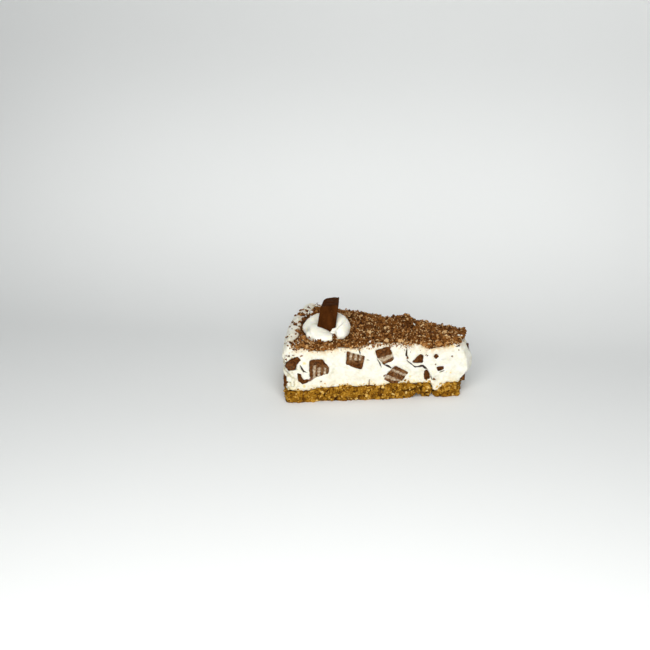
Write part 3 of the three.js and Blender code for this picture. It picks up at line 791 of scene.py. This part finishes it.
def base_crumbs(pieces, cream, base_tree):
    """Loose biscuit crumbs on the base's sides, and smaller, paler ones on the cream above it."""
    random = np.random.default_rng(21)
    counts = BASE_CRUMBS.values()
    sources = [(piece, count, random, on_base_sides) for piece, count in zip(pieces, counts)]
    sources.append((cream, CLINGING_CRUMBS, random, just_above(base_tree)))
    places, normals = joined(*[surface_samples(*source) for source in sources])
    count = len(places)
    size = 0.28 + 0.72 * random.random(count) ** 2
    size[-CLINGING_CRUMBS:] *= 0.6
    sizes = uneven(size, 0.7, 1.3, random)
    places[:, 2] = np.maximum(places[:, 2], 1.35 * size)
    tones = np.clip(random.normal(0.52, 0.24, count), 0.0, 1)
    tones[-CLINGING_CRUMBS:] = np.clip(tones[-CLINGING_CRUMBS:] + 0.25, 0.45, 1)
    balls = ball_templates(2, 10, 0.5, 3)
    crumbs = scattered("biscuit_crumbs", "biscuit", balls, places, normals, sizes, tones, random)
    mark(crumbs, "pit_shade", np.zeros(len(crumbs.data.vertices)))
    smooth(crumbs)


# The cream filling

def crack_depth(points):
    """How deep the cracks are at each point of the near cut, from 0 to 1."""
    flat = np.stack([along_near(points), points[:, 2]], axis=1)
    depth = np.zeros(len(points))
    for path, wide in CRACKS:
        distance, share = distance_to_path(flat, path)
        distance += 0.12 * bumps(points, 0.9, 60)
        half = CRACK_OPENING * wide * (0.35 + 0.65 * np.sin(math.pi * np.clip(share, 0.04, 0.96)))
        half = half * (0.85 + 0.45 * bumps(points, 3.0, 63))
        depth = np.maximum(depth, 1 - smoothstep(distance, 0.25 * half, 0.85 * half))
    return depth


def torn_corner(points):
    """How torn the cream is: most at the near rim corner, where it broke away."""
    z = points[:, 2]
    height = smoothstep(z, 6, 10) * (1 - smoothstep(z, 24, 31))
    corner = (1 - smoothstep(from_rim(points), 4.5, 9)) * (1 - smoothstep(inside_near(points), 8, 24))
    return corner * height


def cream_mesh():
    """The filling's even mesh, finer on the near cut and finest beside the cracks there."""
    piece = remeshed("cream_filling", "cream_body", CREAM_VOXEL)
    points = points_of(piece)
    refine(piece, (inside_near(points) < FINE_DEPTH) & (points[:, 2] < 37))
    relax(piece, 3)
    points = points_of(piece)
    beside_crack = along_paths(points, [(path, 2.0 + wide) for path, wide in CRACKS], 0, 0) > 0
    refine(piece, beside_crack & (inside_near(points) < FINE_DEPTH))
    return piece


def cream_relief(points, soft, torn, crease):
    """How far the cream stands out: soft bumps, the knife's streaks, the torn corner and its bulge."""
    near = inside_near(points)
    z = points[:, 2]
    knife = np.stack([points @ NEAR_ALONG, near, z], axis=1)
    streaks = bumps(knife, np.array([7.0, 3.0, 0.8]), 2)
    height = 0.1 + 0.28 * soft + 0.2 * bumps(points, 1.5, 5) + 0.07 * streaks
    height += torn * (1.1 * bumps(points, 2.5, 9) - 1.6 * crease + 0.35 * bumps(points, 1.0, 10))
    bulge = np.exp(-((from_rim(points) / 4) ** 2) - (near / 6) ** 2 - ((z - 27) / 3.5) ** 2)
    return height + 0.9 * bulge


def cream_piece(topping_tree, base_tree):
    piece = cream_mesh()
    points = points_of(piece)
    u, near, z = from_rim(points), inside_near(points), points[:, 2]
    on_cut = smoothstep(read(piece.data, "normal") @ NEAR_OUT, 0.3, 0.7) * (near < 1.5)
    soft = bumps(points, 3.4, 1)
    torn = torn_corner(points)
    crease = (1 - np.abs(bumps(points, 2.8, 8))) ** 4
    hole, chance = grains(points, 3.4, 30)
    dimple = (chance < 0.25) * (1 - smoothstep(hole, 0.05, 0.17))
    crack = crack_depth(points) * on_cut
    pocket_side = within(near, 0.4, 5) & within(z, 9, 34) & within(u, 2, 93)
    pocket_end = within(near, 1.6, 3.2) & within(z, 9, 33) & within(u, 3, 93)
    height = cream_relief(points, soft, torn, crease)
    push(piece, (height - 0.5 * dimple + 0.15 * pocket_side) * (1 - crack) - 1.1 * crack)
    # Painted shade in the cracks, partly chocolate lying in them, and in the pockets round the bar
    # pieces.
    mark(piece, "crack", np.maximum(smoothstep(crack, 0.1, 0.7), 0.9 * pocket_end))
    # Painted shade for the torn corner's creases, the dimples and the low spots of the soft bumps.
    shade = torn * (1.1 * crease + 0.55 * smoothstep(-bumps(points, 1.7, 9), 0.0, 0.6))
    mark(piece, "shaded_hollow", np.clip(shade + 0.6 * dimple + 0.16 * smoothstep(-soft, 0.1, 0.7), 0, 1))
    mark(piece, "under_topping", np.exp(-distance_to(topping_tree, points) / 1.9))
    mark(piece, "low", np.exp(-distance_to(base_tree, points) / 2.4))
    mark(piece, "spot", in_spots(points) * on_cut)
    mark(piece, "smear", along_paths(points, SMEARS, 0.3, 61) * on_cut)
    return smooth(dress(piece, "cream", "cream_filling"))


# The grated chocolate

def clump_height(points):
    """Relief of the grated chocolate, from 0 in the gaps to 1 on the clumps."""
    return np.clip(dome(grains(points, 3.6, 44)[0]), 0, 1)


def topping_core():
    """The topping's body, sunk a little so that the loose bits on it reach its solid's height."""
    piece = remeshed("grated_chocolate_topping", "grated_core", TOPPING_VOXEL)
    points = points_of(piece)
    normal = read(piece.data, "normal")
    coarse, tone = grains(points, 1.7, 40)
    clump = clump_height(points)
    height = 1.1 * clump + 0.35 * dome(coarse) + 0.12 * bumps(points, 0.8, 3) - 0.5
    height *= smoothstep(from_rosette(points), 12.0, 13.5)
    height -= 0.8 * (1 - smoothstep(from_rim(points) - lip_width(points), 0.5, 2.5))
    sink = 1.5 * smoothstep(normal[:, 2], 0.1, 0.6) * smoothstep(from_rosette(points), 13.0, 14.5)
    push(piece, height - 0.25)
    points = points_of(piece)
    points[:, 2] -= sink
    set_points(piece, points)
    # Painted shade in the gaps between clumps and painted light on them, with a random tone for each
    # grain.
    mark(piece, "tone", 0.3 * clump + 0.15 * tone)
    return smooth(dress(piece, "grated_chocolate", "grated_chocolate_topping"))


def strip_points(curl, twist):
    """Points of a thin curled shaving, about one long and lying along z = 0."""
    points = []
    for side in (1, -1):
        for step in range(STRIP_STEPS):
            along = step / (STRIP_STEPS - 1) - 0.5
            wide = 0.62 * (1 - 1.1 * along * along) * (1 + 0.25 * math.sin(9 * along + twist * 5))
            angle = curl * along
            x = math.sin(angle) / curl * 2
            for row in range(STRIP_ROWS):
                across = row / (STRIP_ROWS - 1) - 0.5
                z = (1 - math.cos(angle)) / curl * 2 + twist * across * along
                points.append((x, across * wide, z + side * STRIP_HALF_THICKNESS))
    return points


def strip_templates(count, seed):
    """Shavings of several shapes, all with the same faces: two sides and a rim between them."""
    random = np.random.default_rng(seed)
    shapes = [strip_points(random.uniform(0.6, 2.4), random.uniform(-0.6, 0.6)) for _ in range(count)]
    below = STRIP_STEPS * STRIP_ROWS
    grid = np.arange(below).reshape(STRIP_STEPS, STRIP_ROWS)
    faces = []
    for a in grid[:-1, :-1].ravel():
        faces.append((a, a + STRIP_ROWS, a + STRIP_ROWS + 1, a + 1))
        faces.append((below + a, below + a + 1, below + a + STRIP_ROWS + 1, below + a + STRIP_ROWS))
    rim = [*grid[:, 0], *grid[-1, 1:], *grid[-2::-1, -1], *grid[0, -2:0:-1]]
    for a, b in zip(rim, rim[1:] + rim[:1]):
        faces.append((b, a, below + a, below + b))
    return np.array(shapes), np.array(faces)


def on_topping(points, normals):
    """Where loose chocolate lies: thick round the rosette, thin at the lip, none under the rosette."""
    away = from_rosette(points)
    clear = (away > ROSETTE_RADIUS - 1.3) * (1 + 1.2 * (away < ROSETTE_RADIUS + 3))
    clear = clear * (0.3 + 0.7 * smoothstep(from_rim(points) - lip_width(points), 0, 2))
    shown = (normals[:, 2] > 0.15) | ((normals[:, 2] > -0.5) & (points[:, 2] > 31))
    return clear * shown * (0.6 + 0.4 * (normals[:, 2] < 0.7))


def shaded_clump_tones(places, mean, spread, random):
    """Painted shade in the gaps between clumps and painted light on them, and paler along the near cut.
    """
    fringe = 0.12 * (1 - smoothstep(inside_near(places), 0.5, 3))
    return random.normal(mean, spread, len(places)) + 0.34 * (clump_height(places) - 0.5) + fringe


def grated_crumbs(core, random):
    places, normals = surface_samples(core, GRATED_CRUMBS, random, on_topping)
    size = 0.5 + 0.65 * random.random(GRATED_CRUMBS) ** 2
    sizes = uneven(size, (0.8, 0.7, 0.5), (1.5, 1.1, 0.95), random)
    # Painted shade between the clumps and painted light on them.
    tones = np.clip(shaded_clump_tones(places, 0.4, 0.18, random), 0.0, 0.8)
    places += 0.2 * normals
    balls = ball_templates(2, 12, 0.45, 11)
    scattered("grated_crumbs", "grated_chocolate", balls, places, normals, sizes, tones, random)


def grated_dust(core, random):
    """The finest crumbs, some of them very pale, lying among and on the others."""
    places, normals = surface_samples(core, GRATED_DUST, random, on_topping)
    size = 0.26 + 0.34 * random.random(GRATED_DUST) ** 1.5
    sizes = uneven(size, (0.8, 0.7, 0.6), (1.5, 1.1, 1.0), random)
    # Painted shade between the clumps and painted light on them, and some pale bits.
    tones = np.clip(shaded_clump_tones(places, 0.48, 0.26, random), 0.0, 1)
    pale = random.random(GRATED_DUST) < 0.17
    tones[pale] = random.uniform(0.85, 1.0, pale.sum())
    places += random.uniform(0.0, 0.8, GRATED_DUST)[:, None] * normals
    balls = ball_templates(1, 12, 0.3, 12)
    scattered("grated_dust", "grated_chocolate", balls, places, normals, sizes, tones, random)


def topping_crumbs(core):
    random = np.random.default_rng(5)
    grated_crumbs(core, random)
    grated_dust(core, random)


def lump_heaps(core, spots, largest, random):
    """A few small lumps at each spot on the grated chocolate: places, normals and sizes."""
    wanted = [slice_point(u, math.radians(angle), TOPPING_TOP) for u, angle in spots]
    centres, normals = nearest_on(core, wanted, np.array([0.0, 0.0, 1.0]))
    places = np.repeat(centres, LUMPS_IN_HEAP, axis=0)
    places += random.normal(0, 0.7, places.shape) * (1, 1, 0.3)
    return places, np.repeat(normals, LUMPS_IN_HEAP, axis=0), random.uniform(0.45, largest, len(places))


def pale_lumps(core):
    random = np.random.default_rng(17)
    places, normals, size = lump_heaps(core, PALE_LUMPS, 1.1, random)
    sizes = uneven(size, (0.8, 0.7, 0.5), (1.4, 1.0, 0.8), random)
    tones = random.uniform(0.84, 1.0, len(size))
    places += 0.5 * normals
    balls = ball_templates(3, 6, 0.32, 70)
    smooth(scattered("pale_lumps", "grated_chocolate", balls, places, normals, sizes, tones, random))


def beside_lip(points, normals):
    """The grated chocolate's edge at the lip, where cream shows through it."""
    inward = from_rim(points) - lip_width(points)
    shown = (normals[:, 2] > 0.1) & (points[:, 2] > 33.5) & (from_rosette(points) > ROSETTE_RADIUS - 0.6)
    return shown * np.exp(-np.maximum(0, inward) / 1.2) * (inward < 4)


def cream_lumps(core):
    """Dabs of cream in the grated chocolate, most of them along its edge at the lip."""
    random = np.random.default_rng(18)
    *heaped, size = lump_heaps(core, CREAM_LUMPS, 0.85, random)
    places, normals = joined(heaped, surface_samples(core, EDGE_DABS, random, beside_lip))
    size = np.concatenate([size, random.uniform(0.4, 1.0, EDGE_DABS)])
    sizes = uneven(size, (0.8, 0.7, 0.4), (1.5, 1.1, 0.65), random)
    tones = np.ones(len(size))
    places += 0.2 * normals
    balls = ball_templates(3, 6, 0.32, 70)
    smooth(scattered("cream_lumps", "cream", balls, places, normals, sizes, tones, random))


def topping_shavings(core):
    random = np.random.default_rng(6)
    places, normals = surface_samples(core, SHAVINGS, random, on_topping)
    normals += 0.5 * random.normal(size=normals.shape)
    long = random.uniform(0.7, 1.7, SHAVINGS)
    sizes = np.stack([long, random.uniform(0.7, 1.5, SHAVINGS), long], axis=1)
    # Painted shade between the clumps and painted light on them.
    tones = np.clip(shaded_clump_tones(places, 0.52, 0.24, random), 0.05, 1)
    places += 0.2 * normals
    strips = strip_templates(12, 2)
    shavings = scattered("grated_shavings", "grated_chocolate", strips, places, normals, sizes, tones,
                         random)
    smooth(shavings)


# Flecks of chocolate on the bare cream

def on_lip(points, normals):
    """Small flecks lie on the bare lip, more of them toward the topping, and a few on the rim."""
    u, z = from_rim(points), points[:, 2]
    lip = (z > 33.2) & (u < TOPPING_START + 0.6) & (normals[:, 2] > 0.05)
    rim = (z > 14) & (u < 1.2) & (normals[:, 2] < 0.3)
    return lip * (0.2 + 0.14 * u) + 0.05 * rim * smoothstep(z, 14, 34)


def on_face(points, normals):
    """Crumbs that fell on the cut just under the grated chocolate."""
    out, z = np.maximum(normals @ NEAR_OUT, normals @ FAR_OUT), points[:, 2]
    return (out > 0.7) * (z > 27) * np.exp(-np.maximum(0, 33.4 - z) / 0.9) * (from_rim(points) > 2)


def at_rosette_foot(points, normals):
    """Grated chocolate lies against the rosette's foot at the front, most of it in the fold."""
    across, back, up = (points - ROSETTE_MIDDLE).T
    angle = np.arctan2(back, across)
    low = within(up, 0.2, 2.0 + 1.5 * toward(angle, -55, 0.12)) & (from_rosette(points) > 10)
    return low * (
        2.2 * toward(angle, -55, 0.1) + 0.8 * toward(angle, -93, 0.2) + 0.25 * toward(angle, -75, 0.8)
    )


def heaps(centres, normals, halves, each, random):
    """Places, normals and half sizes of a few crumbs round each centre."""
    places = np.repeat(centres, each, axis=0)
    reach = np.repeat(halves, each)
    places += 0.42 * reach[:, None] * random.normal(size=places.shape)
    return places, np.repeat(normals, each, axis=0), reach * random.uniform(0.45, 0.85, len(places))


def lip_flecks(cream, random):
    """Each larger fleck on the bare lip is a heap of small crumbs."""
    wanted = [slice_point(u, math.radians(angle), LIP_HEIGHT) for u, angle, _ in LIP_FLECKS]
    centres, normals = nearest_on(cream, wanted, np.array([-0.3, 0.0, 0.95]))
    halves = 0.95 * np.array([half for *_, half in LIP_FLECKS])
    return heaps(centres, normals, halves, CRUMBS_IN_FLECK, random)


def cut_specks(cream, random):
    wanted = [APEX + (u - CAKE_RADIUS) * NEAR_ALONG + (0, 0, height) for u, height, _ in SPECKS]
    centres, normals = nearest_on(cream, wanted, NEAR_OUT)
    return heaps(centres, normals, np.array([half for *_, half in SPECKS]), CRUMBS_IN_SPECK, random)


def cream_flecks(cream, rosette):
    """All the chocolate that lies on the cream and at the rosette's foot."""
    random = np.random.default_rng(8)
    loose = surface_samples(cream, LIP_CRUMBS, random, on_lip)
    fallen = surface_samples(cream, FACE_CRUMBS, random, on_face)
    *heaped, heaped_sizes = lip_flecks(cream, random)
    *specks, speck_sizes = cut_specks(cream, random)
    foot = surface_samples(rosette, FOOT_CRUMBS, random, at_rosette_foot)
    places, normals = joined(loose, fallen, heaped, specks, foot)
    loose_sizes = 0.22 + 0.34 * random.random(LIP_CRUMBS) ** 1.6
    fallen_sizes = 0.18 + 0.32 * random.random(FACE_CRUMBS) ** 2
    foot_sizes = random.uniform(0.35, 0.85, FOOT_CRUMBS)
    size = np.concatenate([loose_sizes, fallen_sizes, heaped_sizes, speck_sizes, foot_sizes])
    sizes = uneven(size, (0.8, 0.6, 0.35), (1.5, 1.1, 0.65), random)
    tones = random.normal(0.44, 0.16, len(size))
    tones[LIP_CRUMBS:LIP_CRUMBS + FACE_CRUMBS] += 0.14
    tones = np.clip(tones, 0.05, 0.85)
    places += 0.05 * normals
    balls = ball_templates(2, 10, 0.42, 31)
    scattered("chocolate_flecks", "grated_chocolate", balls, places, normals, sizes, tones, random)


# The rosette and the finger

def rosette_relief(points, up, angle, reach):
    """How far the rosette stands out: bumps, folds, a full foot in front and a coil's line behind."""
    low = smoothstep(up, 0.2, 1.2)
    height = 0.3 + 0.32 * bumps(points, 4.0, 6) + 0.1 * bumps(points, 1.5, 7)
    for depth, middle, turning, start, wide in ROSETTE_FOLDS:
        turned = middle + turning * (reach - 12)
        height -= depth * (toward(angle, turned, wide) * smoothstep(reach, start, start + 3)) * low
    foot = smoothstep(reach, 11, 13.5) * (1 - smoothstep(up, 2.5, 4.5))
    height += (0.5 * toward(angle, -88, 0.5) + 0.7 * toward(angle, -30, 0.35)) * foot
    coil = 4.2 + 1.2 * np.sin(angle - 1.2) - up
    height -= 0.6 * np.exp(-((coil / 0.7) ** 2)) * smoothstep(reach, 8, 10) * toward(angle, 75, 1.5)
    return height


def rosette_piece():
    piece = remeshed("cream_rosette", "piped_rosette", ROSETTE_VOXEL, 10)
    points = points_of(piece)
    across, back, up = (points - ROSETTE_MIDDLE).T
    angle = np.arctan2(back, across)
    reach = np.hypot(across, back)
    push(piece, rosette_relief(points, up, angle, reach))
    points = points_of(piece)
    dip = 3.0 * toward(angle, -36, 0.45) * smoothstep(reach, 3, 5) * (1 - smoothstep(reach, 10.5, 12.8))
    points[:, 2] -= dip * smoothstep(up, 2, 5)
    set_points(piece, points)
    return smooth(dress(piece, "whipped_cream", "cream_rosette"))


def finger_piece():
    """The finger of bar, chipped along its edges, with a top that rises a little to the right."""
    piece = remeshed("wafer_finger", "bar_finger", FINGER_VOXEL, 3)
    points = points_of(piece)
    streaks = bumps(points, np.array([1.3, 1.3, 14.0]), 4)
    crease = smoothstep(1 - np.abs(bumps(points, 2.4, 7)), 0.86, 1.0)
    chip = crease * smoothstep(bumps(points, 6.0, 8), 0.1, 0.5)
    height = 0.1 + 0.14 * bumps(points, 3.5, 2) + 0.1 * bumps(points, 1.1, 3) + 0.08 * streaks
    push(piece, height - 0.25 * chip)
    points = points_of(piece)
    across = np.clip((points[:, 0] - FINGER_MIDDLE_X) / 4.0, -1, 1)
    points[:, 2] += 0.5 * across * smoothstep(points[:, 2], 46, 53)
    set_points(piece, points)
    return smooth(dress(piece, "chocolate", "wafer_finger"))


# The pieces of bar in the filling

def beside_cut(piece):
    """How far a surface turns away from the two cuts. There it swells to meet its pocket."""
    normal = read(piece.data, "normal")
    return 1 - smoothstep(np.maximum(np.abs(normal @ NEAR_OUT), np.abs(normal @ FAR_OUT)), 0.5, 0.9)


def chocolate_part(node, slot, wafer_tree):
    piece = remeshed(node, node + "_cut", BAR_VOXEL, 1)
    points = points_of(piece)
    chip = (1 - np.abs(bumps(points, 1.9, 6))) ** 6
    height = 0.14 + 0.2 * bumps(points, 1.5, 2) + 0.08 * bumps(points, 0.6, 3) - 0.3 * chip
    push(piece, height + 0.2 * beside_cut(piece))
    pale = np.exp(-distance_to(wafer_tree, points) / 0.9) if wafer_tree else np.zeros(len(points))
    mark(piece, "pale", np.maximum(pale, 0.25 * smoothstep(bumps(points, 2.4, 9), 0.2, 0.7)))
    return smooth(dress(piece, slot, node, paint="broken_chocolate"))


def wafer_part(node):
    piece = remeshed(node, node + "_cut", BAR_VOXEL, 1)
    points = points_of(piece)
    pores = grains(points, 0.9, 50)[0]
    height = 0.12 + 0.14 * bumps(points, 0.9, 3) - 0.3 * (1 - smoothstep(pores, 0.1, 0.5))
    push(piece, height + 0.14 * beside_cut(piece))
    return smooth(dress(piece, "wafer", node))


def bar_pieces():
    """Each piece's wafers first, so that its coating knows where they are, and then the reverse."""
    slots = {entry["node"]: entry["material_slot"] for entry in frame["record"]["subparts"]}
    for node, slot in slots.items():
        if "bar_piece" not in node or slot == "wafer":
            continue
        wafers = [wafer_part(name) for name in slots if name.startswith(node + "_wafer")]
        wafer_points = [points_of(wafer) for wafer in wafers]
        wafer_tree = tree_of(np.concatenate(wafer_points)) if wafers else None
        coating = chocolate_part(node, slot, wafer_tree)
        coating_tree = tree_of(points_of(coating))
        for wafer, points in zip(wafers, wafer_points):
            mark(wafer, "edge", np.exp(-distance_to(coating_tree, points) / 0.8))


def build():
    base = [base_piece(node) for node in BASE_CRUMBS]
    base_tree = tree_of(np.concatenate([points_of(piece) for piece in base]))
    core = topping_core()
    topping_crumbs(core)
    topping_shavings(core)
    pale_lumps(core)
    cream_lumps(core)
    cream = cream_piece(tree_of(points_of(core)), base_tree)
    cream_flecks(cream, rosette_piece())
    base_crumbs(base, cream, base_tree)
    finger_piece()
    bar_pieces()


# The stage, lights and camera

def sweep():
    """A seamless pale floor that bends up into a wall behind the slice."""
    profile = [(-FLOOR_REACH, 0.0), (BEND_START, 0.0)]
    for step in range(1, BEND_STEPS + 1):
        angle = WALL_SLOPE * step / BEND_STEPS
        profile.append((BEND_START + BEND_RADIUS * math.sin(angle), BEND_RADIUS * (1 - math.cos(angle))))
    y, z = profile[-1]
    profile.append((y + WALL_HEIGHT * math.cos(WALL_SLOPE), z + WALL_HEIGHT * math.sin(WALL_SLOPE)))
    points = [(side * PAPER_HALF_WIDTH * MM, y * MM, z * MM) for y, z in profile for side in (-1, 1)]
    faces = [(a, a + 1, a + 3, a + 2) for a in range(0, 2 * len(profile) - 2, 2)]
    mesh = bpy.data.meshes.new("sweep")
    mesh.from_pydata(points, [], faces)
    floor = smooth(link("sweep", mesh))
    paint = Paint("paper", Specular_IOR_Level=0.2)
    colour = paint.ramp(paint.noise(400.0, 2.0), (0.3, (241, 243, 243)), (0.7, (244, 246, 246)))
    rough = paint.patchy(30.0, 2.0, 0.8, 0.9)
    floor.data.materials.append(paint.finish(colour, rough, paint.bump(paint.noise(2.0), 0.01)))


def area_light(name, place, target, size, power, colour):
    """A flat lamp that faces a target."""
    light = bpy.data.lights.new(name, "AREA")
    light.shape = "ELLIPSE"
    light.size, light.size_y = size[0] * MM, size[1] * MM
    light.energy = power
    light.color = colour
    lamp = link(name, light)
    lamp.location = Vector(place) * MM
    lamp.rotation_euler = (Vector(target) - Vector(place)).to_track_quat("-Z", "Y").to_euler()
    return light


def lights():
    area_light("front_softbox", *FRONT_SOFTBOX)
    area_light("wall_light", *WALL_LIGHT).spread = WALL_LIGHT_SPREAD
    world = bpy.data.worlds.new("room")
    world.use_nodes = True
    background = world.node_tree.nodes["Background"]
    background.inputs["Color"].default_value = (0.93, 0.97, 1.0, 1.0)
    background.inputs["Strength"].default_value = ROOM_STRENGTH
    bpy.context.scene.world = world


def camera():
    """The photograph's camera, placed by its turn, its slope and the slice's place in the frame."""
    sin_turn, cos_turn = math.sin(CAMERA_TURN), math.cos(CAMERA_TURN)
    sin_down, cos_down = math.sin(CAMERA_DOWN), math.cos(CAMERA_DOWN)
    look = np.array([-sin_turn * cos_down, cos_turn * cos_down, -sin_down])
    right = np.array([cos_turn, sin_turn, 0.0])
    up = np.cross(right, look)
    eye = CAMERA_TARGET - CAMERA_DISTANCE * look - CAMERA_RIGHT * right - CAMERA_UP * up
    lens = bpy.data.cameras.new("camera")
    lens.sensor_width = SENSOR
    lens.lens = SENSOR * FOCAL_SHARE
    holder = link("camera", lens)
    axes = Matrix(np.stack([right, up, -look], axis=1).tolist()).to_4x4()
    holder.matrix_world = Matrix.Translation(Vector(eye) * MM) @ axes
    bpy.context.scene.camera = holder
    bpy.context.scene.view_settings.view_transform = "Standard"


build()
sweep()
lights()
camera()
